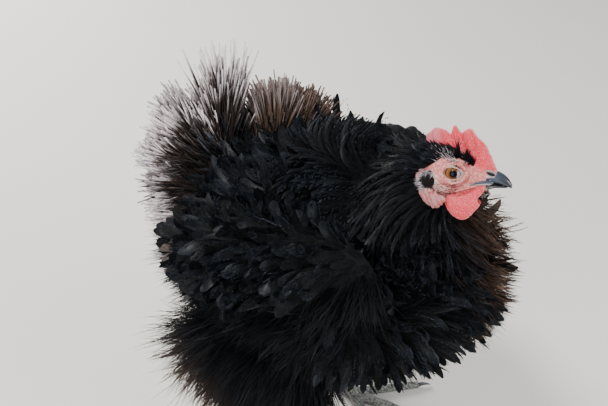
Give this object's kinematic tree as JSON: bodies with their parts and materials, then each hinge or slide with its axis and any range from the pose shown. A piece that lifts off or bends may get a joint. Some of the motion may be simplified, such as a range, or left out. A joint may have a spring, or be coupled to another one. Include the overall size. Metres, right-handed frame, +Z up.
{
  "type": "frizzle hen",
  "caption": "Life-size still model of a black frizzle-feathered easter egger hen, standing with her head drawn in and tilted.",
  "frame": {"origin": "on the floor, under the middle of the whole hen's box", "axes": "+X the way the bill points, +Y the hen's left, +Z up"},
  "size_m": [0.3136, 0.2346, 0.333],
  "materials": {
    "plumage": "soft black feathers with a cool sheen",
    "comb_skin": "pebbled red skin",
    "face_skin": "bare pink skin, finely wrinkled",
    "horn": "smooth dark horn",
    "leg_scales": "slate scales",
    "eye": "clear wet gloss"
  },
  "bodies": {
    "root": {"torso": "plumage", "neck": "plumage", "tail": "plumage", "wing_left": "plumage", "wing_right": "plumage", "thigh_left": "plumage", "thigh_right": "plumage", "comb": "comb_skin", "wattle_left": "comb_skin", "wattle_right": "comb_skin", "head": "face_skin", "earlobe_left": "face_skin", "earlobe_right": "face_skin", "bill_upper": "horn", "bill_lower": "horn", "claw_outer_left": "horn", "claw_middle_left": "horn", "claw_inner_left": "horn", "claw_hind_left": "horn", "claw_outer_right": "horn", "claw_middle_right": "horn", "claw_inner_right": "horn", "claw_hind_right": "horn", "shank_left": "leg_scales", "foot_left": "leg_scales", "toe_outer_left": "leg_scales", "toe_middle_left": "leg_scales", "toe_inner_left": "leg_scales", "toe_hind_left": "leg_scales", "shank_right": "leg_scales", "foot_right": "leg_scales", "toe_outer_right": "leg_scales", "toe_middle_right": "leg_scales", "toe_inner_right": "leg_scales", "toe_hind_right": "leg_scales", "eye_left": "eye", "eye_right": "eye"}
  },
  "joints": []
}
